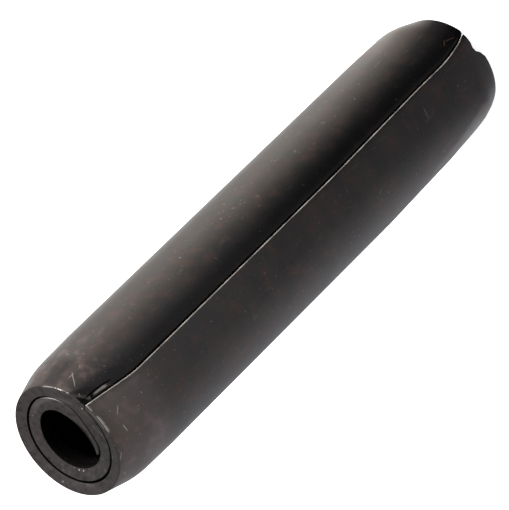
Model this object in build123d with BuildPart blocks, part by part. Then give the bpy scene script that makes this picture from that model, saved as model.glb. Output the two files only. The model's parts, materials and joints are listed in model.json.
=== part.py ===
from build123d import *

import os
from math import atan2, cos, degrees, radians, sin, sqrt, tan

# A coiled spring pin: one strip of spring steel rolled into a little over two turns, with both
# ends swaged to a smooth lead. The pin stands on its lower end and +Z is its axis. The outer end
# of the strip, the seam, faces -Y. Angles are degrees from +X, counter-clockwise seen from above,
# and the strip winds clockwise from the seam inwards. Millimetres.

# The rolled strip
pin_length = 50.0
pin_radius = 5.275  # free, before the pin is driven into a 10 mm hole
strip_share = 0.1763  # strip thickness over that radius, which the standards keep near a sixth
turn_gap = 0.12  # between one turn and the next

# Where the strip steps in from its first turn to its second, along the gap between the turns
step_start = 360.5
step_end = 257.9
step_share = 0.684  # its radius over the gap's own
# The inner end of the strip, its tail, lies nearly flat across the bore and curls over at its tip
tail_share = 8.17  # its radius over the gap's own
tail_end = 253.9
# The bore sits a little to one side, and has its own side of the same step and tail
bore_offset = 0.07
bore_offset_angle = 50.0
bore_step_start = 20.5
bore_step_end = 269.7
bore_step_share = 0.642  # its radius and the tail's over the bore's own
bore_tail_share = 2.76
bore_tail_end = 238.0
core_overlap = 0.1  # by which the cuts that open the bore reach past each other's centres

# Each swaged end: a steep lead up to a corner, rounded on the outside, then a shallow shoulder up
# to the full diameter
top_lead_angle = 14.5
top_lead_length = 2.45
top_shoulder_angle = 1.25
top_shoulder_length = 3.95
top_blend_radius = 8.0
bottom_lead_angle = 18.9
bottom_lead_length = 2.3
bottom_shoulder_angle = 1.0
bottom_shoulder_length = 4.7
bottom_blend_radius = 5.2

# Both faces are hollow, because the inner turns are drawn back as an end is swaged
hollow_radius = 14.8
top_face_tilt = 2.2
bottom_land_width = 0.25
rim_break = 0.06  # the outer edge of both faces

# The seam, along the edge of the outer turn
seam_angle = 272.5
seam_width = 0.05  # at its foot
seam_lip = 0.40  # rounding of the turn that goes under
edge_break = 0.08  # the outer turn's own edge, rubbed bright
# Swaging drags the seam sideways at both ends, and it drifts a little along the pin
top_curl_angle = 9.3
top_curl_length = 5.2
bottom_curl_angle = 8.8
bottom_curl_length = 5.0
drift_angle = 2.5
drift_start = 20.0
drift_end = 8.0

# The rim of the upper end is rubbed flat beside that, square to -Y
rim_flat_depth = 0.675  # at the face
rim_flat_slope = 30.0
rim_flat_start = 0.95
rim_flat_width = 1.8
rim_flat_length = 2.2

# A split beside the seam at the upper end
split_angle = 287.6
split_turn = 4.9
split_length = 2.65
split_width = 0.07
split_depth = 0.6

# One side of the lower end is pressed flatter: a cut about an axis set off to the far side, which
# leaves a waist and then rises gently to the full radius
flat_side_angle = 180.0
flat_side_offset = 1.5
flat_face_depth = 0.86
flat_lead_height = 1.5
flat_lead_depth = 0.51
flat_waist_height = 2.4
flat_waist_depth = 0.42
flat_knee_height = 6.5
flat_knee_depth = 0.19
flat_end_height = 15.0

run_out = 0.8  # how far a cut passes the end of the pin
side_run_out = 0.3  # how far a cut passes its side


def compass(angle):
    return Vector(cos(radians(angle)), sin(radians(angle)), 0)


def end_steps(lead_angle, lead_length, shoulder_angle, shoulder_length):
    """Distance from the face and loss of radius: past the face, at it, at the corner and the top."""
    corner_drop = shoulder_length * tan(radians(shoulder_angle))
    face_drop = corner_drop + lead_length * tan(radians(lead_angle))
    return (
        (-run_out, face_drop + run_out * tan(radians(lead_angle))),
        (0, face_drop),
        (lead_length, corner_drop),
        (lead_length + shoulder_length, 0),
    )


top_steps = end_steps(top_lead_angle, top_lead_length, top_shoulder_angle, top_shoulder_length)
bottom_steps = end_steps(
    bottom_lead_angle, bottom_lead_length, bottom_shoulder_angle, bottom_shoulder_length
)
top_rim = pin_radius - top_steps[1][1]
bottom_rim = pin_radius - bottom_steps[1][1]


def wall_line(radius, bottom_blend=0, top_blend=0):
    """The pin's swaged outline at any radius, from below its lower end to above its upper end."""
    past_bottom, _, bottom_corner, bottom_full = bottom_steps
    past_top, _, top_corner, top_full = top_steps
    points = [(radius - drop, distance) for distance, drop in (past_bottom, bottom_corner, bottom_full)]
    points += [
        (radius - drop, pin_length - distance) for distance, drop in (top_full, top_corner, past_top)
    ]
    return FilletPolyline(points, radius=(bottom_blend, 0, 0, top_blend))


def stretch(center, start, end, outer, inner=0):
    """One stretch of a turn: the swaged outline swept about its own centre between two angles."""
    plane = Plane(origin=center, x_dir=compass(start), z_dir=compass(start - 90))
    with BuildSketch(plane) as profile:
        with BuildLine():
            outer_wall = wall_line(outer)
            if inner:
                inner_wall = wall_line(inner)
            else:
                inner_wall = Line((0, -run_out), (0, pin_length + run_out))
            Line(inner_wall @ 0, outer_wall @ 0)
            Line(inner_wall @ 1, outer_wall @ 1)
        make_face()
    revolve(profile.sketch, axis=Axis(center, (0, 0, 1)), revolution_arc=end - start)


def drop_at(height):
    """How far swaging takes a wall in, at a height: the lead and the shoulder are cones."""
    if height < pin_length / 2:
        distance, lead_angle, shoulder_angle, steps = (
            height, bottom_lead_angle, bottom_shoulder_angle, bottom_steps
        )
    else:
        distance, lead_angle, shoulder_angle, steps = (
            pin_length - height, top_lead_angle, top_shoulder_angle, top_steps
        )
    (corner, corner_drop), (full, _) = steps[2:]
    if distance < corner:
        return corner_drop + (corner - distance) * tan(radians(lead_angle))
    return max(0, full - distance) * tan(radians(shoulder_angle))


def radius_at(height):
    """The outside at a height: as the walls, less what the rounding of a corner takes off."""
    if height < pin_length / 2:
        distance, corner, blend_radius = height, bottom_lead_length, bottom_blend_radius
        lead_angle, shoulder_angle = bottom_lead_angle, bottom_shoulder_angle
    else:
        distance, corner, blend_radius = pin_length - height, top_lead_length, top_blend_radius
        lead_angle, shoulder_angle = top_lead_angle, top_shoulder_angle
    tangent_length = blend_radius * tan(radians((lead_angle - shoulder_angle) / 2))
    start = corner - tangent_length * cos(radians(lead_angle))
    end = corner + tangent_length * cos(radians(shoulder_angle))
    if not start < distance < end:
        return pin_radius - drop_at(height)
    sine = sin(radians(shoulder_angle)) + (end - distance) / blend_radius
    end_height = end if height < pin_length / 2 else pin_length - end
    arc_drop = blend_radius * (cos(radians(shoulder_angle)) - sqrt(1 - sine**2))
    return pin_radius - drop_at(end_height) - arc_drop


def seam_direction(height):
    """The seam drifts along the pin and curls sideways at both ends."""
    depth = pin_length - height
    top_curl = top_curl_angle * max(0, 1 - depth / top_curl_length) ** 1.6
    bottom_curl = bottom_curl_angle * max(0, 1 - height / bottom_curl_length) ** 1.8
    drift = min(1, max(0, (drift_start - height) / (drift_start - drift_end)))
    return seam_angle + top_curl + bottom_curl + drift_angle * drift


# The gap between the turns is a chain of arcs that run into each other, each about its own centre
strip_thickness = strip_share * pin_radius
gap_radius = pin_radius - strip_thickness - turn_gap / 2
bore_radius = pin_radius - 2 * strip_thickness - turn_gap - bore_offset
bore_center = bore_offset * compass(bore_offset_angle)
pin_center = Vector(0, 0, 0)
step_radius = step_share * gap_radius
tail_radius = tail_share * gap_radius
step_center = (gap_radius - step_radius) * compass(step_start)
tail_center = step_center + (step_radius - tail_radius) * compass(step_end)
# The last arc opens flush with the bore, which fixes its radius and where the strip ends
tail_point = tail_center + tail_radius * compass(tail_end)
mouth_radius = bore_radius - turn_gap / 2
tail_reach = tail_point - bore_center
tip_radius = (mouth_radius**2 - tail_reach.dot(tail_reach)) / (
    2 * (mouth_radius - tail_reach.dot(compass(tail_end)))
)
tip_center = tail_point - tip_radius * compass(tail_end)
mouth_direction = tip_center - bore_center
strip_end = degrees(atan2(mouth_direction.Y, mouth_direction.X)) % 360
tip_overrun = 8.0  # past the strip's end, in the open bore
gap_end = seam_angle + 20.0  # past the seam; the turn that goes under closes it again
gap_overrun = 1.0  # how far past the foot of the seam it stays open
under_overrun = 5.0  # past the gap's end

bore_step_radius = bore_step_share * bore_radius
bore_tail_radius = bore_tail_share * bore_radius
bore_step_center = bore_center + (bore_radius - bore_step_radius) * compass(bore_step_start)
bore_tail_center = bore_step_center + (bore_step_radius - bore_tail_radius) * compass(bore_step_end)
bore_tail_depth = bore_step_radius + core_overlap


# The round outside. The upper face is tilted, and the lower one keeps a narrow flat land round
# its hollow, on which the pin stands.
top_face = Plane(
    origin=(0, 0, pin_length),
    x_dir=(cos(radians(top_face_tilt)), 0, -sin(radians(top_face_tilt))),
    z_dir=(0, -1, 0),
)

with BuildPart() as outside:
    with BuildSketch(Plane.XZ):
        with BuildLine():
            wall = wall_line(pin_radius, bottom_blend_radius, top_blend_radius)
            Polyline(wall @ 0, (0, -run_out), (0, pin_length + run_out), wall @ 1)
        make_face()
    revolve(axis=Axis.Z)
    with BuildSketch(top_face):
        with BuildLine():
            center_height = sqrt(hollow_radius**2 - (top_rim - rim_break) ** 2)
            edge = top_rim - rim_break
            hollow = RadiusArc((0, center_height - hollow_radius), (edge, 0), -hollow_radius)
            Polyline(
                hollow @ 1,
                (edge + run_out, -run_out),
                (edge + run_out, 2 * run_out),
                (0, 2 * run_out),
                hollow @ 0,
            )
        make_face()
    revolve(axis=Axis((0, 0, pin_length), top_face.y_dir), mode=Mode.SUBTRACT)
    with BuildSketch(Plane.XZ):
        with BuildLine():
            land = bottom_rim - rim_break - bottom_land_width
            center_depth = sqrt(hollow_radius**2 - land**2)
            hollow = RadiusArc((0, hollow_radius - center_depth), (land, 0), hollow_radius)
            Polyline(
                hollow @ 1, (pin_radius, 0), (pin_radius, -2 * run_out), (0, -2 * run_out), hollow @ 0
            )
        make_face()
    revolve(axis=Axis.Z, mode=Mode.SUBTRACT)
    chamfer(outside.edges().group_by(Axis.Z)[0].sort_by(SortBy.LENGTH)[-1], rim_break)

# The flatter side of the lower end
with BuildPart() as pressed_side:
    press_center = -flat_side_offset * compass(flat_side_angle)
    press_plane = Plane(
        origin=press_center, x_dir=compass(flat_side_angle), z_dir=compass(flat_side_angle - 90)
    )
    with BuildSketch(press_plane) as press_profile:
        with BuildLine():
            full = pin_radius + flat_side_offset
            Polyline(
                (full + side_run_out, -run_out),
                (full - flat_face_depth, -run_out),
                (full - flat_face_depth, 0),
                (full - flat_lead_depth, flat_lead_height),
                (full - flat_waist_depth, flat_waist_height),
                (full - flat_knee_depth, flat_knee_height),
                (full, flat_end_height),
                (full + side_run_out, flat_end_height),
                close=True,
            )
        make_face()
    revolve(axis=Axis(press_center, (0, 0, 1)))

# The bore: round for half its way, then in along the step and the tail
with BuildPart() as bore_side:
    stretch(
        bore_tail_center,
        bore_tail_end,
        bore_step_end,
        bore_tail_radius,
        bore_tail_radius - bore_tail_depth,
    )
    split(bisect_by=Plane(origin=bore_center, z_dir=compass(strip_end + 90)), keep=Keep.TOP)
    stretch(bore_center, bore_step_start, strip_end, bore_radius)
    stretch(bore_center, 0, 360, bore_radius - bore_step_radius + core_overlap)
    stretch(bore_step_center, bore_step_end, bore_step_start + 360, bore_step_radius)

# The seam in four lengths, by height: curled by swaging at both ends, straight in between. Each
# curl is taken at these shares of its length.
curl_shares = (-0.14, 0.15, 0.31, 0.62, 1.0, 1.3)
top_seam = [pin_length - share * top_curl_length for share in reversed(curl_shares)]
bottom_seam = [share * bottom_curl_length for share in curl_shares] + [drift_end]
plain_seam = [drift_start, top_seam[0]]
drifting_seam = [drift_end, drift_start]
seam_lengths = (bottom_seam, drifting_seam, plain_seam, top_seam)


def shoulder_direction(height):
    """Where the turn that goes under starts, at the foot of the seam."""
    foot_radius = gap_radius - drop_at(height)
    return seam_direction(height) + degrees(seam_width / foot_radius)


def under_section(height):
    """The turn that goes under, where it closes the gap just past the foot of the seam."""
    foot = gap_radius - drop_at(height)
    start = shoulder_direction(height) + gap_overrun
    end = gap_end + under_overrun
    with BuildSketch(Plane.XY.offset(height)) as section:
        with BuildLine():
            Polyline(
                (foot - side_run_out) * compass(start),
                (foot + side_run_out) * compass(start),
                (foot + side_run_out) * compass(end),
                (foot - side_run_out) * compass(end),
                close=True,
            )
        make_face()
    return section.sketch


def seam_section(height):
    """Down the outer turn's edge into the gap, and up the rounded shoulder of the turn under it."""
    edge_angle = seam_direction(height)
    shoulder_angle = shoulder_direction(height)
    wall = radius_at(height)
    foot = gap_radius - drop_at(height)
    lip_angle = shoulder_angle + degrees(seam_lip / wall)
    break_angle = edge_angle - degrees((side_run_out + edge_break) / wall)
    with BuildSketch(Plane.XY.offset(height)) as section:
        with BuildLine():
            edge = Polyline(
                (wall + side_run_out) * compass(break_angle),
                (wall - edge_break) * compass(edge_angle),
                foot * compass(edge_angle),
                foot * compass(shoulder_angle),
                (wall - 0.9 * seam_lip) * compass(shoulder_angle),
            )
            lip = TangentArc(
                edge @ 1, (wall + 0.1 * seam_lip) * compass(lip_angle), tangent=compass(shoulder_angle)
            )
            Polyline(lip @ 1, (wall + side_run_out) * compass(lip_angle), edge @ 0)
        make_face()
    return section.sketch


with BuildPart() as under_turn:
    for levels in seam_lengths:
        loft(sections=[under_section(height) for height in levels])

# The gap between the turns, from under the seam round to the bore
with BuildPart() as turn_line:
    half = turn_gap / 2
    stretch(pin_center, step_start, gap_end + 360, gap_radius + half, gap_radius - half)
    add(under_turn.part, mode=Mode.SUBTRACT)
    stretch(step_center, step_end, step_start, step_radius + half, step_radius - half)
    stretch(tail_center, tail_end, step_end, tail_radius + half, tail_radius - half)
    stretch(tip_center, strip_end - tip_overrun, tail_end, tip_radius + half, tip_radius - half)

with BuildPart() as seam:
    for levels in seam_lengths:
        loft(sections=[seam_section(height) for height in levels])

# The flat on the rim, which leans outwards down the pin until it leaves the wall
with BuildPart() as rim_flat:
    with BuildSketch(Plane.YZ.offset(rim_flat_start)):
        with BuildLine():
            lean = tan(radians(rim_flat_slope))
            face_place = rim_flat_depth - top_rim
            Polyline(
                (face_place + run_out * lean, pin_length + run_out),
                (face_place - rim_flat_length * lean, pin_length - rim_flat_length),
                (-pin_radius - side_run_out, pin_length - rim_flat_length),
                (-pin_radius - side_run_out, pin_length + run_out),
                close=True,
            )
        make_face()
    extrude(amount=rim_flat_width)

# The split beside the seam, deepest at the face
with BuildPart() as side_split:
    for share in (-0.25, 0.3, 0.65, 1.0):
        height = pin_length - share * split_length
        middle = split_angle - split_turn * max(0, share) ** 1.9
        wall = radius_at(height)
        half_width = degrees(split_width / 2 / wall)
        with BuildSketch(Plane.XY.offset(height)):
            with BuildLine():
                Polyline(
                    (wall + side_run_out) * compass(middle - half_width),
                    (wall + side_run_out) * compass(middle + half_width),
                    (wall - split_depth * (1.05 - share)) * compass(middle),
                    close=True,
                )
            make_face()
    loft()

with BuildPart() as coiled_pin:
    add(outside.part)
    add(pressed_side.part, mode=Mode.SUBTRACT)
    add(bore_side.part, mode=Mode.SUBTRACT)
    add(turn_line.part, mode=Mode.SUBTRACT)
    add(seam.part, mode=Mode.SUBTRACT)
    add(rim_flat.part, mode=Mode.SUBTRACT)
    add(side_split.part, mode=Mode.SUBTRACT)

coiled_pin.part.label = "coiled_pin"
os.makedirs("parts", exist_ok=True)
export_step(coiled_pin.part, "parts/coiled_pin.step")
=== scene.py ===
import json
from math import atan2, cos, degrees, hypot, pi, radians, sin, sqrt, tan
from types import SimpleNamespace

import bmesh
import bpy
from mathutils import Matrix, Vector

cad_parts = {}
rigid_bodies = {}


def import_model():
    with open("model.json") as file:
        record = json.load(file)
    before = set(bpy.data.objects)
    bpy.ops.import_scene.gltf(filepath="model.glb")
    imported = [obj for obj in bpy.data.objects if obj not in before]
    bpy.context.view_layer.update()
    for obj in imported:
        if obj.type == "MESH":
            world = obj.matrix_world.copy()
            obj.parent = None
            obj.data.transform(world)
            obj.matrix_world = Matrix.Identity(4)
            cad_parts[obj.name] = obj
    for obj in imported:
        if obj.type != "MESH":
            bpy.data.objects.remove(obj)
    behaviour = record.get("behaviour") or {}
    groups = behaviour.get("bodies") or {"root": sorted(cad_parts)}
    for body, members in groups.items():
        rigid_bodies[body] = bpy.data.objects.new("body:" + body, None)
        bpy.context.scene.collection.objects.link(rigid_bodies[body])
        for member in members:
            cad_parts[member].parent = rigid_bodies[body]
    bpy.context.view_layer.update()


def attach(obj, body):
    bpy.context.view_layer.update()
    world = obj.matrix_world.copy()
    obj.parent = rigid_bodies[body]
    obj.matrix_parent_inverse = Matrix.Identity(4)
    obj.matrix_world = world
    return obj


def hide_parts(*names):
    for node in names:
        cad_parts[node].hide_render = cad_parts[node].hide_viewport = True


# A coiled spring pin of blackened spring steel, rolled from one strip and swaged at both ends. It
# stands on its lower end with the seam to -Y.
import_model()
MM = 0.001

# ------------------------------------------------------------------ the pin's sizes, in millimetres
pin_length = 50.0
pin_radius = 5.275
strip_thickness = 0.17156 * pin_radius

# The roll, as arcs that run into each other. Angles are degrees from +X, counter-clockwise seen
# from above.
turn_gap = 0.17
bore_offset = 0.07
gap_radius = pin_radius - strip_thickness - turn_gap / 2
bore_radius = pin_radius - 2 * strip_thickness - turn_gap - bore_offset
step_start = 360.5
step_end = 257.9
step_radius = 0.684 * gap_radius
tail_radius = 8.17 * gap_radius
tail_end = 253.9
bore_step_start = 20.5
bore_step_end = 269.7
bore_step_radius = 0.642 * bore_radius
bore_tail_radius = 2.76 * bore_radius

# Lead angle, lead length, shoulder angle, shoulder length and rounding of each swaged end
top_swage = (14.5, 2.45, 1.25, 3.95, 8.0)
bottom_swage = (18.9, 2.3, 1.0, 4.7, 5.2)
# The end faces, both hollow
hollow_radius = 14.8
top_face_tilt = 2.2
bottom_land = 0.25
rim_break = 0.06
face_edge_break = 0.045
run_out = 0.8  # how far walls and tools run past an end face

# The seam
seam_angle = 272.5
seam_width = 0.05
seam_lip = 0.40
edge_break = 0.08
# How many degrees swaging drags it round, over what length, and how late it bends
top_curl = (9.3, 5.2, 1.6)
bottom_curl = (8.8, 5.0, 1.8)
seam_drift = 2.5  # degrees, all of it between these two heights
drift_start = 20
drift_end = 8

# How deep one side of the lower end is pressed, by height, by a ring set off to the far side
press_offset = 1.5
press_depths = ((-1.5, 0.86), (0, 0.86), (1.5, 0.51), (2.4, 0.42), (6.5, 0.19), (15, 0))
# The flat rubbed on the upper rim: how deep, its slope in degrees and where it lies along X
rim_flat_depth = 0.675
rim_flat_slope = 30
rim_flat_start = 0.95
rim_flat_width = 1.8
rim_flat_length = 2.2
# The split down the upper taper, which turns towards the seam, and the crack that crosses from it
split_angle = 288.3
split_turn = 7.4
split_length = 2.65
split_width = 0.13
split_depth = 0.66
crack_width = 0.1
nick_angle = 266
tail_bevel_center = Vector((-0.1, 1.35, 0))

front = 270  # the bearing of -Y, which the seam keeps near
same_place = 0.0005  # points closer than this are one


def compass(angle):
    """A step of one millimetre outwards at a bearing."""
    return Vector((cos(radians(angle)), sin(radians(angle)), 0))


def bearing(point):
    """The bearing of a point, from 0 to 360 degrees."""
    return degrees(atan2(point.y, point.x)) % 360


def swage_drop(height):
    """How far swaging takes a wall in, at a height: a lead and a shoulder, rounded where they meet."""
    swage = bottom_swage if height < pin_length / 2 else top_swage
    lead_angle, lead_length, shoulder_angle, shoulder_length, blend = swage
    distance = min(height, pin_length - height)
    lead, shoulder = radians(lead_angle), radians(shoulder_angle)
    full = lead_length + shoulder_length
    tangent = blend * tan((lead - shoulder) / 2)
    blend_end = lead_length + tangent * cos(shoulder)
    if distance > blend_end:
        return max(0, full - distance) * tan(shoulder)
    if distance < lead_length - tangent * cos(lead):
        return shoulder_length * tan(shoulder) + (lead_length - distance) * tan(lead)
    sine = sin(shoulder) + (blend_end - distance) / blend
    return (full - blend_end) * tan(shoulder) + blend * (cos(shoulder) - sqrt(1 - sine**2))


def seam_shift(height):
    """Degrees that the seam wanders: it drifts along the pin and curls sideways at both ends."""
    shift = 0
    for distance, (reach, length, power) in ((pin_length - height, top_curl), (height, bottom_curl)):
        shift += reach * max(0, 1 - distance / length) ** power
    return shift + seam_drift * min(1, max(0, (drift_start - height) / (drift_start - drift_end)))


# ------------------------------------------------------------------ modelling
def begin(name):
    """A new piece in edit mode, with nothing in it yet."""
    if bpy.context.object and bpy.context.object.mode == "EDIT":
        bpy.ops.object.mode_set(mode="OBJECT")
    bpy.ops.object.select_all(action="DESELECT")
    bpy.ops.mesh.primitive_plane_add(size=0.1, location=(0, 0, 0))
    piece = bpy.context.object
    piece.name = piece.data.name = name
    bpy.ops.object.mode_set(mode="EDIT")
    bpy.ops.mesh.delete(type="VERT")
    return piece


def draw(points):
    """Draws a line through points, by extruding a single point, and leaves it selected."""
    bpy.ops.mesh.select_all(action="DESELECT")
    bpy.ops.mesh.primitive_plane_add(size=0.1, location=(0, 0, 0))
    bpy.ops.mesh.merge(type="CENTER")
    bpy.ops.transform.translate(value=points[0])
    for here, there in zip(points, points[1:]):
        push(there - here)
    bpy.ops.mesh.select_linked()


def push(move):
    """Extrudes what is selected."""
    bpy.ops.mesh.extrude_region_move(TRANSFORM_OT_translate={"value": move})


def turn(center, start, end, pitch):
    """Spins what is selected about an upright axis, from one bearing to another."""
    steps = max(1, round(abs(end - start) / pitch))
    bpy.ops.mesh.spin(steps=steps, angle=radians(start - end), center=center, axis=(0, 0, 1))


def pick(piece, test):
    """Selects the vertices that pass a test, and nothing else."""
    bpy.ops.mesh.select_all(action="DESELECT")
    mesh = bmesh.from_edit_mesh(piece.data)
    found = [vertex for vertex in mesh.verts if test(vertex.co)]
    for vertex in found:
        vertex.select_set(True)
    mesh.select_flush(True)
    return len(found)


def close_up(piece):
    """Merges doubles and turns all faces outwards."""
    bpy.ops.mesh.select_all(action="SELECT")
    bpy.ops.mesh.remove_doubles(threshold=0.001)
    bpy.ops.mesh.normals_make_consistent(inside=False)


def cut(piece, tool):
    """Cuts a tool away from a piece, and deletes the tool."""
    bpy.context.view_layer.objects.active = piece
    modifier = piece.modifiers.new("cut", "BOOLEAN")
    modifier.operation = "DIFFERENCE"
    modifier.solver = "EXACT"
    modifier.object = tool
    bpy.ops.object.modifier_apply(modifier=modifier.name)
    bpy.data.objects.remove(tool)


# The centre of each arc of the roll, worked out so that each runs smoothly into the next
half_gap = turn_gap / 2
axis = Vector((0, 0, 0))
bore_center = bore_offset * compass(50)
step_center = (gap_radius - step_radius) * compass(step_start)
tail_center = step_center + (step_radius - tail_radius) * compass(step_end)
tail_point = tail_center + tail_radius * compass(tail_end)
mouth_radius = bore_radius - half_gap
tail_reach = tail_point - bore_center
tip_radius = (mouth_radius**2 - tail_reach.length_squared) / (
    2 * (mouth_radius - tail_reach.dot(compass(tail_end)))
)
tip_center = tail_point - tip_radius * compass(tail_end)
strip_end = bearing(tip_center - bore_center)
bore_step_center = bore_center + (bore_radius - bore_step_radius) * compass(bore_step_start)
bore_tail_center = bore_step_center + (bore_step_radius - bore_tail_radius) * compass(bore_step_end)


def wall_levels():
    """Heights of the wall's rows of points: close in the swaged ends, wide apart between them."""
    height, step = 0.85, 0.4
    swaged, widest, growth = 6.3, 2.6, 1.35
    levels = [-run_out]
    while height < pin_length / 2 - 1:
        levels.append(height)
        if height > swaged:
            step = min(widest, growth * step)
        height += step
    return levels + [pin_length - level for level in reversed(levels)]


def wall_line(center, angle, radius):
    """The points of a wall's upright line, as swaging bends it."""
    return [
        center + (radius - swage_drop(level)) * compass(angle) + Vector((0, 0, level))
        for level in wall_levels()
    ]


def join_lines(piece, *lines):
    """Bridges two upright lines of points."""
    ends = [point for line in lines for point in line]
    pick(piece, lambda place: any((place - point).length < same_place for point in ends))
    bpy.ops.mesh.bridge_edge_loops()


def roll_strip():
    """The rolled strip: upright lines, turned about each centre of the roll in its own arc."""
    pin = begin("rolled_strip")
    lip_top = seam_angle + degrees((seam_width + seam_lip) / pin_radius)
    flap = seam_angle + 360
    foot = flap + degrees(seam_width / gap_radius)
    offset = bore_tail_center - bore_center
    along = offset.dot(compass(strip_end))
    reach = bore_tail_radius**2 - offset.length_squared + along**2
    tail_corner = bore_center + (along + sqrt(reach)) * compass(strip_end)
    tail_bearing = bearing(tail_corner - bore_tail_center)

    # The outside, the outer turn's edge at the seam, and the gap's outer wall in to the bore
    lip_line = wall_line(axis, lip_top, pin_radius)
    draw(lip_line)
    turn(axis, lip_top, flap, 3)
    push((gap_radius + half_gap - pin_radius) * compass(flap))
    turn(axis, flap, step_start, 4)
    turn(step_center, step_start, step_end, 6)
    turn(tail_center, step_end, tail_end, 2)
    turn(tip_center, tail_end, strip_end, 5)
    # The bore, as far as the strip's inner end
    turn(bore_center, strip_end, bore_step_start, 4)
    turn(bore_step_center, bore_step_start, bore_step_end - 360, 6)
    turn(bore_tail_center, bore_step_end, tail_bearing, 2)

    # The gap's inner wall, from the strip's inner end back to the foot of the seam
    tip_line = wall_line(tip_center, strip_end, tip_radius - half_gap)
    draw(tip_line)
    turn(tip_center, strip_end, tail_end, 5)
    turn(tail_center, tail_end, step_end, 2)
    turn(step_center, step_end, step_start, 6)
    turn(axis, step_start, foot, 4)
    # Up the shoulder of the turn that goes under, and over its rounded lip
    lip_foot = (pin_radius - 0.9 * seam_lip) * compass(foot)
    rise = pin_radius * compass(lip_top) - lip_foot
    across = compass(foot + 90)
    lip_radius = rise.length_squared / (2 * rise.dot(across))
    lip_center = lip_foot + lip_radius * across
    first = bearing(lip_foot - lip_center)
    last = bearing(rise + lip_foot - lip_center)
    steps = 6
    arc = [first + (last - first) * step / steps for step in range(steps)]
    push(lip_foot - (gap_radius - half_gap) * compass(foot))
    for here, there in zip(arc, arc[1:]):
        push(lip_radius * (compass(there) - compass(here)))
    lip_point = lip_center + lip_radius * compass(arc[-1])
    lip_edge = [
        lip_point - swage_drop(level) * compass(foot) + Vector((0, 0, level)) for level in wall_levels()
    ]
    join_lines(pin, lip_edge, lip_line)
    join_lines(pin, wall_line(bore_tail_center, tail_bearing, bore_tail_radius), tip_line)
    close_up(pin)
    return pin


def gather(piece, key):
    """The vertices' numbers in groups, by what key says of each place, apart from None."""
    groups = {}
    for vertex in bmesh.from_edit_mesh(piece.data).verts:
        group = key(vertex.co)
        if group is not None:
            groups.setdefault(group, []).append(vertex.index)
    return groups


def select_only(piece, numbers):
    """Selects the vertices with these numbers."""
    bpy.ops.mesh.select_all(action="DESELECT")
    mesh = bmesh.from_edit_mesh(piece.data)
    mesh.verts.ensure_lookup_table()
    for number in numbers:
        mesh.verts[number].select_set(True)
    mesh.select_flush(True)


def curl_seam(pin):
    """Swaging drags the seam round the pin, and the wall beside it follows less the further off."""
    lip_top = seam_angle + degrees((seam_width + seam_lip) / pin_radius)
    beside, reach = 1.2, 24.0  # degrees of wall that follow fully, and that follow at all
    levels = wall_levels()

    def share_and_level(place):
        wall = hypot(place.x, place.y) + swage_drop(place.z)
        if wall < gap_radius - 2 * half_gap:
            return None
        off = max(0, seam_angle - bearing(place) - beside, bearing(place) - lip_top)
        level = min(range(len(levels)), key=lambda n: abs(levels[n] - place.z))
        if off >= reach or not seam_shift(levels[level]):
            return None
        return level, round(1 - off / reach, 1)

    for (level, share), members in gather(pin, share_and_level).items():
        select_only(pin, members)
        # With no window this operator turns the other way
        angle = -radians(share * seam_shift(levels[level]))
        bpy.ops.transform.rotate(value=angle, orient_axis="Z", center_override=(0, 0, 0))


def face_height(place, upper):
    """The height of a hollow end face, above a place."""
    if upper:
        rim = pin_radius - swage_drop(pin_length) - rim_break
        tilt = radians(top_face_tilt)
        away = sqrt(hollow_radius**2 - rim**2)
        center = Vector((away * sin(tilt), 0, pin_length + away * cos(tilt)))
        side = -1
    else:
        land = pin_radius - swage_drop(0) - rim_break - bottom_land
        center = Vector((0, 0, -sqrt(hollow_radius**2 - land**2)))
        side = 1
    off_squared = (place.x - center.x) ** 2 + (place.y - center.y) ** 2
    height = center.z + side * sqrt(hollow_radius**2 - off_squared)
    return height if upper else max(0, height)


def trim_end(pin, upper):
    """Slides the wall's last row along the wall to the hollow face, closes it and breaks its edges."""
    level = pin_length + run_out if upper else -run_out
    mesh = bmesh.from_edit_mesh(pin.data)
    mesh.verts.index_update()
    row = {}
    for vertex in mesh.verts:
        if abs(vertex.co.z - level) < 0.01:
            others = [edge.other_vert(vertex).co for edge in vertex.link_edges]
            below = max(others, key=lambda place: abs(place.z - level))
            row[vertex.index] = (vertex.co.copy(), (below - vertex.co) / (below.z - level))
    for number, (place, slope) in row.items():
        rise = 0
        for _ in range(4):  # the height depends on where the point ends up
            rise = face_height(place + rise * slope, upper) - level
        select_only(pin, [number])
        bpy.ops.transform.translate(value=rise * slope)
    select_only(pin, row)
    bpy.ops.mesh.edge_face_add()
    bpy.ops.mesh.bevel(offset=face_edge_break, segments=2, affect="EDGES")
    bpy.ops.mesh.select_all(action="DESELECT")
    bpy.ops.mesh.select_face_by_sides(number=20, type="GREATER", extend=False)
    bpy.ops.mesh.quads_convert_to_tris(ngon_method="BEAUTY")


def finish_pin(pin):
    """Out of edit mode, smooth but for its edges, and from millimetres to metres."""
    bpy.ops.object.select_all(action="DESELECT")
    bpy.context.view_layer.objects.active = pin
    pin.select_set(True)
    bpy.ops.object.shade_smooth_by_angle(angle=radians(24))
    pin.scale = (MM, MM, MM)
    bpy.ops.object.transform_apply(location=True, rotation=True, scale=True)


def close_tool(piece):
    """Leaves edit mode with a closed tool."""
    close_up(piece)
    bpy.ops.object.mode_set(mode="OBJECT")
    return piece


def press_tool():
    """A ring that presses one side of the lower end flatter, about an axis set off to the far side."""
    tool = begin("press_tool")
    center = press_offset * compass(0)
    full = pin_radius + press_offset
    inner = [
        center + (full - depth) * compass(0) + Vector((0, 0, height)) for height, depth in press_depths
    ]
    ends = (press_depths[-1][0], press_depths[0][0])
    outer = [center + (full + 2) * compass(0) + Vector((0, 0, height)) for height in ends]
    draw(inner + outer + inner[:1])
    bpy.ops.mesh.remove_doubles(threshold=0.0001)
    turn(center, 0, 360, 3)
    return close_tool(tool)


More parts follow.
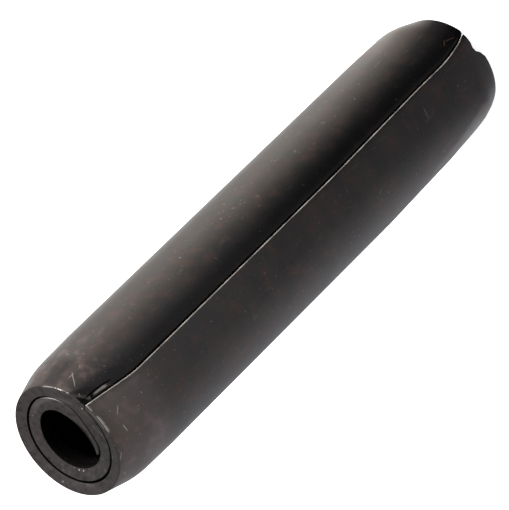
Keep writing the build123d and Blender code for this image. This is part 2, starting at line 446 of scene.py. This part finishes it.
def prism(name, outline, rise):
    """A closed outline pushed along one direction."""
    tool = begin(name)
    draw(list(outline) + [outline[0]])
    bpy.ops.mesh.remove_doubles(threshold=0.0001)
    bpy.ops.mesh.edge_face_add()
    push(rise)
    return close_tool(tool)


def rim_flat_tool():
    """The flat rubbed on the upper rim beside the seam, which leans outwards down the pin."""
    place = rim_flat_depth - (pin_radius - swage_drop(pin_length))
    lean = tan(radians(rim_flat_slope))
    top = pin_length + run_out
    bottom = pin_length - rim_flat_length
    outside = -pin_radius - 0.5
    outline = (
        Vector((rim_flat_start, place + run_out * lean, top)),
        Vector((rim_flat_start, place - rim_flat_length * lean, bottom)),
        Vector((rim_flat_start, outside, bottom)),
        Vector((rim_flat_start, outside, top)),
    )
    return prism("rim_flat_tool", outline, Vector((rim_flat_width, 0, 0)))


def lower_nick_tool():
    """The nick in the lower rim beside the seam: across the rim, and how far up it reaches."""
    shape = (
        (1.36, -0.6),
        (1.36, 0.2),
        (1.0, 0.26),
        (0.5, 0.46),
        (0.1, 0.76),
        (-0.25, 0.74),
        (-0.55, 0.34),
        (-1.0, 0.08),
        (-1.0, -0.6),
    )
    start, depth = 3.9, 1.2  # from inside the outer turn to well outside it
    outline = [start * compass(nick_angle) + Vector((across, 0, height)) for across, height in shape]
    return prism("lower_nick_tool", outline, depth * compass(nick_angle))


def split_tool(name, track, width):
    """A split: a thin wedge along a track of bearings, heights and depths, widest at the wall."""
    tool = begin(name)
    proud = 0.3  # how far the wedge stands out of the wall
    places = []
    for angle, height, depth in track:
        wall = pin_radius - swage_drop(height)
        places.append((wall * compass(angle) + Vector((0, 0, height)), compass(angle), depth))
    lines = ([], [], [])
    for number, (place, outward, depth) in enumerate(places):
        before, after = places[max(0, number - 1)][0], places[min(len(places) - 1, number + 1)][0]
        side = outward.cross(after - before).normalized() * width / 2
        lines[0].append(place + proud * outward - side)
        lines[1].append(place + proud * outward + side)
        lines[2].append(place - depth * outward)
    for line in lines:
        draw(line)
    for first, second in ((0, 1), (1, 2), (2, 0)):
        join_lines(tool, lines[first], lines[second])
    for end in (0, -1):
        pick(tool, lambda place: any((place - line[end]).length < same_place for line in lines))
        bpy.ops.mesh.edge_face_add()
    return close_tool(tool)


def side_split_tool():
    """The split beside the seam, deepest at the upper face."""
    shares = (-0.25, 0, 0.3, 0.5, 0.65, 0.85, 1.0)
    track = [
        (
            split_angle - split_turn * max(0, share),
            pin_length - split_length * share,
            split_depth * (1.05 - share),
        )
        for share in shares
    ]
    return split_tool("side_split_tool", track, split_width)


def cross_split_tool():
    """A short crack from that split across to the seam."""
    track = ((285.8, 48.8, 0.2), (284.6, 48.93, 0.35), (283.2, 49.08, 0.35), (281.4, 49.35, 0.3))
    return split_tool("cross_split_tool", track, crack_width)


def tail_bevel_tool():
    """The broken edge along the strip's inner end: part of a cone that dips below the face."""
    tool = begin("tail_bevel_tool")
    start, end = 215, 325
    profile = ((2.05, 49.04), (2.9, 49.34), (2.9, 50.2), (1.6, 50.2), (1.6, 49.04))
    points = [
        tail_bevel_center + radius * compass(start) + Vector((0, 0, height)) for radius, height in profile
    ]
    draw(points + points[:1])
    bpy.ops.mesh.remove_doubles(threshold=0.0001)
    bpy.ops.mesh.edge_face_add()
    turn(tail_bevel_center, start, end, 3)
    return close_tool(tool)


pin = roll_strip()
flap_line = wall_line(axis, seam_angle, pin_radius)
pick(pin, lambda place: any((place - point).length < same_place for point in flap_line))
bpy.ops.mesh.bevel(offset=edge_break, segments=2, affect="EDGES")
# Two stand-ins, so that the seam's broken edge has a slot of its own for its finish
for name in ("wall", "edge"):
    pin.data.materials.append(bpy.data.materials.new(name))
pin.active_material_index = 1
bpy.ops.object.material_slot_assign()
curl_seam(pin)
trim_end(pin, upper=False)
trim_end(pin, upper=True)
bpy.ops.object.mode_set(mode="OBJECT")
cuts = (
    press_tool,
    rim_flat_tool,
    lower_nick_tool,
    side_split_tool,
    cross_split_tool,
    tail_bevel_tool,
)
for make_tool in cuts:
    cut(pin, make_tool())
finish_pin(pin)
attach(pin, "root")
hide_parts("coiled_pin")


# ------------------------------------------------------------------ finishes
MATHS = "ShaderNodeMath"
VECTOR_MATHS = "ShaderNodeVectorMath"
LEVELS = "ShaderNodeMapRange"
GRAIN = "ShaderNodeTexNoise"
SEPARATE = "ShaderNodeSeparateXYZ"
COMBINE = "ShaderNodeCombineXYZ"


def linear(hex_colour):
    """An sRGB hex colour as linear RGBA."""
    channels = [int(hex_colour[i : i + 2], 16) / 255 for i in (1, 3, 5)]
    curved = [c / 12.92 if c <= 0.04045 else ((c + 0.055) / 1.055) ** 2.4 for c in channels]
    return (*curved, 1.0)


def node(tree, kind, sockets=None, **settings):
    """Adds a node with its settings, and gives each socket a number, a hex colour or another's output."""
    made = tree.nodes.new(kind)
    for name, setting in settings.items():
        setattr(made, name, setting)
    for socket, value in (sockets or {}).items():
        if isinstance(value, bpy.types.Node):
            value = next(output for output in value.outputs if output.enabled)
        if isinstance(value, bpy.types.NodeSocket):
            tree.links.new(value, made.inputs[socket])
        else:
            made.inputs[socket].default_value = linear(value) if isinstance(value, str) else value
    return made


def mask(tree, *limits):
    """1 where every limit holds, with soft edges. A limit is a mask or a number as it is, or a value
    with the levels where it starts to hold and fully holds, or a value with the two ends of a band
    and the softness of its edges."""
    product = None
    for limit in limits:
        if isinstance(limit, tuple):
            value, *levels = limit
            if len(levels) == 3:
                low, high, soft = levels
                levels = (low - soft, low + soft, high - soft, high + soft)
            ramps = []
            for start, full in zip(levels[::2], levels[1::2]):
                span = {"Value": value, "From Min": start, "From Max": full}
                ramps.append(node(tree, LEVELS, span, interpolation_type="SMOOTHSTEP"))
            limit = ramps[0]
            if len(ramps) == 2:
                limit = node(tree, MATHS, {0: ramps[0], 1: ramps[1]}, operation="SUBTRACT")
        if product is None:
            product = limit
        else:
            product = node(tree, MATHS, {0: product, 1: limit}, operation="MULTIPLY")
    return product


def any_of(tree, *masks):
    """Wherever at least one of several masks holds."""
    strongest = masks[0]
    for other in masks[1:]:
        strongest = node(tree, MATHS, {0: strongest, 1: other}, operation="MAXIMUM")
    return strongest


def lay(tree, under, over, *limits):
    """Lays one colour over another where every limit holds, which a number among them weakens."""
    cover = mask(tree, *limits)
    return node(tree, "ShaderNodeMix", {0: cover, 6: under, 7: over}, data_type="RGBA")


def scratch(tree, at, off, height, length, lean, width):
    """A wavering scratch on the wall: its middle in degrees off -Y and in height, its length, its lean
    from upright in degrees and its width."""
    middle = (radians(off) * pin_radius, height, 0)
    shifted = node(tree, VECTOR_MATHS, {0: at.unrolled, 1: middle}, operation="SUBTRACT")
    leaning = {"Vector": shifted, "Angle": radians(lean)}
    turned = node(tree, "ShaderNodeVectorRotate", leaning, rotation_type="Z_AXIS")
    across, along, _ = node(tree, SEPARATE, {0: turned}).outputs
    waver = 0.12
    wavering = node(tree, MATHS, {0: at.fine, 1: waver, 2: across}, operation="MULTIPLY_ADD")
    low, high = -width / 2, width / 2
    return mask(tree, (wavering, low, high, 0.03), (along, -length / 2, length / 2, 0.15))


def dot(tree, at, angle, radius, height, size):
    """A small round mark at a bearing, radius and height."""
    middle = radius * compass(angle) + Vector((0, 0, height))
    away = node(tree, VECTOR_MATHS, {0: at.place, 1: middle}, operation="DISTANCE")
    return mask(tree, (away, size, 0.5 * size))


def pin_places(tree):
    """What the finish follows, in millimetres and degrees: the place, its height and radius, the
    wall unrolled, and how far it is off -Y towards +X, past the seam, past the split and below the
    upper face. Then soft masks of the pin's regions, and noises."""
    at = SimpleNamespace()
    texture = node(tree, "ShaderNodeTexCoord")
    at.place = node(tree, VECTOR_MATHS, {0: texture.outputs["Object"], "Scale": 1 / MM}, operation="SCALE")
    at.x, at.y, at.z = node(tree, SEPARATE, {0: at.place}).outputs
    at.plan = node(tree, COMBINE, {0: at.x, 1: at.y})
    at.radius = node(tree, VECTOR_MATHS, {0: at.plan}, operation="LENGTH")
    forward = node(tree, MATHS, {0: at.y, 1: -1}, operation="MULTIPLY")
    turned = node(tree, MATHS, {0: at.x, 1: forward}, operation="ARCTAN2")
    at.off = node(tree, MATHS, {0: turned}, operation="DEGREES")
    arc = node(tree, MATHS, {0: turned, 1: pin_radius}, operation="MULTIPLY")
    at.unrolled = node(tree, COMBINE, {0: arc, 1: at.z})

    # The seam drifts along the pin and curls at both ends
    past = node(tree, MATHS, {0: at.off, 1: seam_angle - front}, operation="SUBTRACT")
    drift = {"Value": at.z, "From Min": drift_start, "From Max": drift_end, "To Max": seam_drift}
    past = node(tree, MATHS, {0: past, 1: node(tree, LEVELS, drift)}, operation="SUBTRACT")
    for end, inward, (reach, length, power) in ((pin_length, -1, top_curl), (0, 1, bottom_curl)):
        rise = node(tree, LEVELS, {"Value": at.z, "From Min": end + inward * length, "From Max": end})
        curl = node(tree, MATHS, {0: rise, 1: power}, operation="POWER")
        curl = node(tree, MATHS, {0: curl, 1: reach}, operation="MULTIPLY")
        past = node(tree, MATHS, {0: past, 1: curl}, operation="SUBTRACT")
    at.past_seam = past

    # The split leans towards the seam on its way down
    down = {0: at.z, 1: -1 / split_length, 2: pin_length / split_length}
    share = node(tree, MATHS, down, operation="MULTIPLY_ADD")
    share = node(tree, MATHS, {0: share, 1: 0}, operation="MAXIMUM")
    past = node(tree, MATHS, {0: at.off, 1: split_angle - front}, operation="SUBTRACT")
    at.past_split = node(tree, MATHS, {0: share, 1: split_turn, 2: past}, operation="MULTIPLY_ADD")

    # The upper face is hollow and tilted
    face_middle = face_height(Vector((0, 0, 0)), upper=True)
    squared = node(tree, MATHS, {0: at.radius, 1: at.radius}, operation="MULTIPLY")
    hollow = {0: squared, 1: 1 / (2 * hollow_radius), 2: face_middle}
    face = node(tree, MATHS, hollow, operation="MULTIPLY_ADD")
    tilted = {0: at.x, 1: -tan(radians(top_face_tilt)), 2: face}
    face = node(tree, MATHS, tilted, operation="MULTIPLY_ADD")
    at.below_face = node(tree, MATHS, {0: face, 1: at.z}, operation="SUBTRACT")

    # The taper at the upper end, the wall outside the rim and the hollow face inside it
    at.upper_end = mask(tree, (at.z, pin_length - 5, pin_length + 5, 1.6))
    at.wall = mask(tree, (at.radius, 4.42, 4.5))
    at.face = mask(tree, (at.z, 49.1, 52, 0.05), (at.radius, 4.56, 4.5))

    # Grains to a millimetre, how finely each breaks up, and its seed. The oxide's own crystals are
    # too fine to see, so the fine grain that roughens it is drawn coarser.
    grains = {
        "broad": (0.32, 3, 1),
        "patches": (0.9, 5, 2),
        "grain": (7, 4, 3),
        "streaks": (2.2, 5, 4),
        "fine": (3.2, 3, 5),
        "chipped": (2.4, 3, 6),
        "polished": (1.6, 3, 7),
        "specks": (3.6, 2, 8),
        "worked": (1.1, 6, 9),
        "stains": (2.2, 7, 10),
    }
    drawn_out = node(tree, VECTOR_MATHS, {0: at.place, 1: (1, 1, 0.22)}, operation="MULTIPLY")
    for name, (per_mm, detail, seed) in grains.items():
        follows = drawn_out if name == "streaks" else at.place
        sockets = {"Vector": follows, "Scale": per_mm, "Detail": detail, "W": seed}
        setattr(at, name, node(tree, GRAIN, sockets, noise_dimensions="4D"))
    return at


def oxide_colour(tree, at):
    """Mottled reddish brown and grey green, paler where swaging worked the upper end, with painted light
    that makes the upper end paler on the -X side of the seam, and painted shade darkening the dip
    beside the seam."""
    oxide = lay(tree, "#4c4948", "#524d4b", (at.broad, 0.42, 0.62))
    oxide = lay(tree, oxide, "#5f4f4b", (at.patches, 0.52, 0.7), 0.8)
    oxide = lay(tree, oxide, "#474a47", (at.patches, 0.48, 0.3), 0.8)
    oxide = lay(tree, oxide, "#6c6765", (at.streaks, 0.6, 0.8), 0.7)
    # Painted light: the upper end is painted paler on the -X side of the seam.
    oxide = lay(tree, oxide, "#69625f", at.upper_end, (at.past_seam, 0.2, -6), 0.85)
    oxide = lay(tree, oxide, "#7a6a6b", at.upper_end, (at.worked, 0.5, 0.66), 0.6)
    oxide = lay(tree, oxide, "#8a8580", (at.grain, 0.64, 0.74), 0.5)
    # Painted shade: a dark band is painted on the wall in the dip beside the seam, on its +X side.
    return lay(tree, oxide, "#262526", (at.past_seam, -0.3, 2.5), (at.past_seam, 26, 8), at.wall, 0.85)


def face_colour(tree, at, oxide):
    """Stains on the upper face, painted light that makes it lighter towards +X, a painted highlight round
    the bore's edge and another along the broken edge of the strip's inner end, and painted shade in the
    gap and bore below."""
    # Painted light: the face is painted lighter towards +X, the softbox's side.
    face = lay(tree, "#504b4b", "#645d5c", (at.x, -2, 3))
    face = lay(tree, face, "#353434", (at.stains, 0.52, 0.3), 0.7)
    face = lay(tree, face, "#75686a", (at.stains, 0.54, 0.75), 0.8)
    # Painted highlight on the face round the bore's edge, on the +X side.
    face = lay(tree, face, "#8b8685", (at.radius, 3.15, 3.5, 0.1), (at.off, 30, 105, 15), 0.6)
    oxide = lay(tree, oxide, face, at.face)
    # Painted highlight along the broken edge of the strip's inner end.
    from_tail = node(tree, VECTOR_MATHS, {0: at.plan, 1: tail_bevel_center}, operation="DISTANCE")
    tail_edge_highlight = ((from_tail, 2.0, 2.4, 0.06), (at.y, 0.4, 0), (at.z, 48.7, 48.9), (at.stains, 0.3, 0.5))
    oxide = lay(tree, oxide, "#8d8a89", *tail_edge_highlight, 0.8)
    # Painted shade: below the face the gap's walls are painted near black, and the bore a little lighter.
    inner = lay(tree, "#141313", "#343130", (at.radius, 3.1, 3))
    return lay(tree, oxide, inner, (at.radius, 4.44, 4.36), (at.below_face, 0.05, 0.11), (at.z, 0.5, 0.7))


def taper_colour(tree, at, oxide):
    """Painted shade where the upper taper is dented, painted highlights on two flat faces of the sliver
    beside the seam, and rust low down.
    """
    # Painted shade where the upper taper is dented, beside the split and further round towards +X.
    dent_shade = any_of(
        tree,
        mask(tree, (at.past_split, 1, 9, 3), (at.z, 46.2, 52, 1.2)),
        mask(tree, (at.off, 45, 62, 4), (at.z, 47.3, 49.8, 0.5)),
    )
    oxide = lay(tree, oxide, "#2e2d2f", dent_shade, at.wall, 0.75)
    # Painted highlights on two flat faces of the sliver beside the seam.
    facet_highlights = any_of(
        tree,
        mask(tree, (at.past_split, -2.4, -1, 0.4), (at.z, 49.35, 49.8, 0.1)),
        mask(tree, (at.past_split, -3.2, -1.2, 0.5), (at.z, 47.9, 48.8, 0.2)),
    )
    oxide = lay(tree, oxide, "#b8b2af", facet_highlights, at.wall, 0.75)
    rust = any_of(
        tree,
        scratch(tree, at, 17.0, 1.95, 1.0, 6, 0.06),
        scratch(tree, at, 17.6, 2.8, 0.6, -28, 0.06),
    )
    return lay(tree, oxide, "#a27f70", rust, at.wall)


def bare_metal_and_highlight(tree, at):
    """Where the oxide is gone: chips and rubbed lines on the upper rim, scratches, specks and nicks; and
    a painted highlight along the inner turn's edge at the gap beside the seam.
    """
    chips = mask(tree, (at.off, 31, 62, 2), (at.chipped, 0.38, 0.5))
    rubbed = mask(tree, (at.off, -20, 13, 3), (at.polished, 0.36, 0.56), 0.8)
    rim = mask(tree, (at.radius, 4.49, 4.57, 0.025), (at.z, 49.6, 51, 0.1), any_of(tree, chips, rubbed))
    # Painted highlight along the inner turn's edge at the gap, either side of the seam.
    inner_edge_highlight = mask(tree, (at.radius, 4.14, 4.22, 0.02), (at.off, -16, 6, 2), at.face, 0.7)
    # Degrees off -Y, height, length, lean from upright and width
    scratches = (
        (35.2, 48.85, 1.2, -47, 0.045),
        (39.5, 48.6, 0.4, 10, 0.04),
        (-46.5, 49.95, 0.7, -77, 0.05),
        (-10.0, 48.62, 0.55, -50, 0.05),
        (-26.3, 48.88, 0.55, -95, 0.06),
        (-13.6, 9.2, 0.7, -74, 0.03),
    )
    scratched = any_of(tree, *(scratch(tree, at, *place) for place in scratches))
    # Bearing, radius, height and size
    nicks = (
        (284.2, 3.66, 49.75, 0.11),
        (281.0, 4.6, 49.7, 0.09),
        (136.8, 2.76, 49.6, 0.09),
        (145.5, 2.76, 49.62, 0.08),
    )
    nicked = any_of(tree, *(dot(tree, at, *place) for place in nicks))
    everywhere = node(tree, MATHS, {0: at.upper_end, 1: 0.3, 2: 0.2}, operation="MULTIPLY_ADD")
    speckled = any_of(tree, mask(tree, (at.off, 35, 80, 8), 0.4), everywhere)
    specks = mask(tree, (at.specks, 0.67, 0.73), 0.6, speckled)
    return any_of(tree, rim, inner_edge_highlight, mask(tree, scratched, at.wall, 0.65), specks, nicked)


def black_oxide_steel():
    """Black oxide over spring steel: near black, half polished by the swaging dies, and rubbed to bare
    metal on the rim and in a few scratches."""
    material = bpy.data.materials.new("black_oxide_steel")
    material.use_nodes = True
    tree = material.node_tree
    shader = tree.nodes["Principled BSDF"]
    at = pin_places(tree)
    colour = taper_colour(tree, at, face_colour(tree, at, oxide_colour(tree, at)))
    colour = lay(tree, colour, "#d8d2cc", bare_metal_and_highlight(tree, at))
    # Painted shade: the split and the crack across the sliver are painted black inside.
    split = mask(tree, (at.past_split, -0.75, 0.75, 0.2), (at.z, pin_length - split_length, 52, 0.05))
    crack = scratch(tree, at, 13.8, 49.08, 0.55, -50, 0.12)
    colour = lay(tree, colour, "#0b0a0a", any_of(tree, split, crack), at.wall)
    rough = node(tree, MATHS, {0: at.patches, 1: 0.2, 2: 0.2}, operation="MULTIPLY_ADD")
    rough = node(tree, MATHS, {0: at.face, 1: 0.15, 2: rough}, operation="MULTIPLY_ADD")
    relief = node(tree, MATHS, {0: at.fine, 1: at.streaks}, operation="ADD")
    bump = node(tree, "ShaderNodeBump", {"Height": relief, "Strength": 0.25, "Distance": 0.012 * MM})
    tree.links.new(colour.outputs[2], shader.inputs["Base Color"])
    tree.links.new(rough.outputs[0], shader.inputs["Roughness"])
    tree.links.new(bump.outputs[0], shader.inputs["Normal"])
    shader.inputs["Metallic"].default_value = 0.85
    return material


def rubbed_steel_edge():
    """Steel rubbed bright along the outer turn's own edge, duller in places and dark at the lower end."""
    material = bpy.data.materials.new("rubbed_steel_edge")
    material.use_nodes = True
    tree = material.node_tree
    shader = tree.nodes["Principled BSDF"]
    texture = node(tree, "ShaderNodeTexCoord")
    height = node(tree, SEPARATE, {0: texture.outputs["Object"]}).outputs[2]
    along = node(tree, COMBINE, {2: height})
    sockets = {"Vector": along, "Scale": 0.6 / MM, "Detail": 4, "W": 11}
    worn = node(tree, GRAIN, sockets, noise_dimensions="4D")
    tone = lay(tree, "#8a817a", "#d6cec6", (worn, 0.35, 0.65))
    tone = lay(tree, "#1c1a19", tone, (height, 0.8 * MM, 1.6 * MM))
    tree.links.new(tone.outputs[2], shader.inputs["Base Color"])
    shader.inputs["Metallic"].default_value = 0.5
    shader.inputs["Roughness"].default_value = 0.5
    return material


for number, finish in enumerate((black_oxide_steel(), rubbed_steel_edge())):
    spare = pin.data.materials[number]
    pin.data.materials[number] = finish
    bpy.data.materials.remove(spare)


# ------------------------------------------------------------------ camera and studio
def place_camera():
    """A long lens, above and in front, rolled so that the pin lies across the frame."""
    data = bpy.data.cameras.new("camera")
    data.lens = 362.9
    data.sensor_fit = "HORIZONTAL"
    data.sensor_width = 36
    data.clip_end = 10
    camera = bpy.data.objects.new("camera", data)
    bpy.context.scene.collection.objects.link(camera)
    position = Vector((-0.441, -290.130, 262.111)) * MM
    aim = Vector((0.1414, 0.0, 26.190)) * MM
    roll = radians(-134.57)
    look = (aim - position).to_track_quat("-Z", "Z").to_matrix().to_4x4()
    camera.matrix_world = Matrix.Translation(position) @ look @ Matrix.Rotation(roll, 4, "Z")
    bpy.context.scene.camera = camera


def studio_tones(tree):
    """What metal mirrors of the studio: bright towards +X, dark in front and half lit towards -X."""
    # Bearing in degrees, and tone
    tones = (
        (-180, "#9a9a9e"),
        (-160, "#8c8c90"),
        (-139, "#6a6a6e"),
        (-100, "#565659"),
        (-86, "#4e4e52"),
        (-78, "#101012"),
        (-62, "#101012"),
        (-52, "#242426"),
        (-42, "#3c3a3a"),
        (-31, "#88837f"),
        (-20, "#bab3ad"),
        (-8, "#c8c2bc"),
        (5, "#e0dad4"),
        (20, "#cac5c0"),
        (38, "#aca8a4"),
        (70, "#b4b4b4"),
        (90, "#c0c0c0"),
        (98, "#747478"),
        (140, "#86868a"),
        (160, "#9a9a9e"),
    )
    texture = node(tree, "ShaderNodeTexCoord")
    x, y, _ = node(tree, SEPARATE, {0: texture.outputs["Object"]}).outputs
    round_about = node(tree, MATHS, {0: y, 1: x}, operation="ARCTAN2")
    share = node(tree, MATHS, {0: round_about, 1: 0.5 / pi, 2: 0.5}, operation="MULTIPLY_ADD")
    ramp = node(tree, "ShaderNodeValToRGB", {0: share})
    stops = ramp.color_ramp.elements
    stops.remove(stops[1])
    for number, (angle, tone) in enumerate(tones):
        place = angle / 360 + 0.5
        stop = stops.new(place) if number else stops[0]
        stop.color = linear(tone)
    away = node(tree, VECTOR_MATHS, {0: texture.outputs["Object"]}, operation="LENGTH")
    further = lay(tree, "#000000", "#868689", (away, 0.03, 0.06))
    further = lay(tree, further, "#94928f", (away, 0.08, 0.25))
    sockets = {0: 1, 6: ramp, 7: further}
    return node(tree, "ShaderNodeMix", sockets, data_type="RGBA", blend_type="LIGHTEN")


def white_paper():
    """Matt white paper to the eye, in which metal mirrors the studio beyond it instead."""
    paper = bpy.data.materials.new("white_paper")
    paper.use_nodes = True
    tree = paper.node_tree
    diffuse = tree.nodes["Principled BSDF"]
    diffuse.inputs["Base Color"].default_value = linear("#f2f2f2")
    diffuse.inputs["Roughness"].default_value = 0.9
    path = node(tree, "ShaderNodeLightPath")
    glow = node(tree, "ShaderNodeEmission", {"Strength": 0.9})
    lit = node(tree, "ShaderNodeAddShader", {0: diffuse, 1: glow})
    mirrored = node(tree, "ShaderNodeEmission", {"Color": studio_tones(tree), "Strength": 2.0})
    seen = node(tree, "ShaderNodeMixShader", {0: path.outputs["Is Camera Ray"], 1: diffuse, 2: lit})
    seen = node(tree, "ShaderNodeMixShader", {0: path.outputs["Is Glossy Ray"], 1: seen, 2: mirrored})
    tree.links.new(seen.outputs[0], tree.nodes["Material Output"].inputs["Surface"])
    return paper


def lay_floor():
    """A wide sheet of that paper under the pin."""
    bpy.ops.object.select_all(action="DESELECT")
    bpy.ops.mesh.primitive_plane_add(size=2)
    floor = bpy.context.object
    floor.name = "floor"
    floor.data.materials.append(white_paper())


def light_studio():
    """An even white surround, and one softbox to the side."""
    world = bpy.data.worlds.new("studio")
    bpy.context.scene.world = world
    world.use_nodes = True
    world.node_tree.nodes["Background"].inputs["Color"].default_value = (1, 1, 1, 1)
    world.node_tree.nodes["Background"].inputs["Strength"].default_value = 0.35
    data = bpy.data.lights.new("key", "AREA")
    data.shape = "RECTANGLE"
    data.size = data.size_y = 0.3
    data.energy = 4
    softbox = bpy.data.objects.new("key", data)
    bpy.context.scene.collection.objects.link(softbox)
    softbox.location = (0.4, -0.05, 0.3)
    aim = Vector((0, 0, 0.03)) - softbox.location
    softbox.rotation_euler = aim.to_track_quat("-Z", "Y").to_euler()
    softbox.visible_camera = False


place_camera()
lay_floor()
light_studio()
bpy.context.scene.view_settings.view_transform = "Standard"
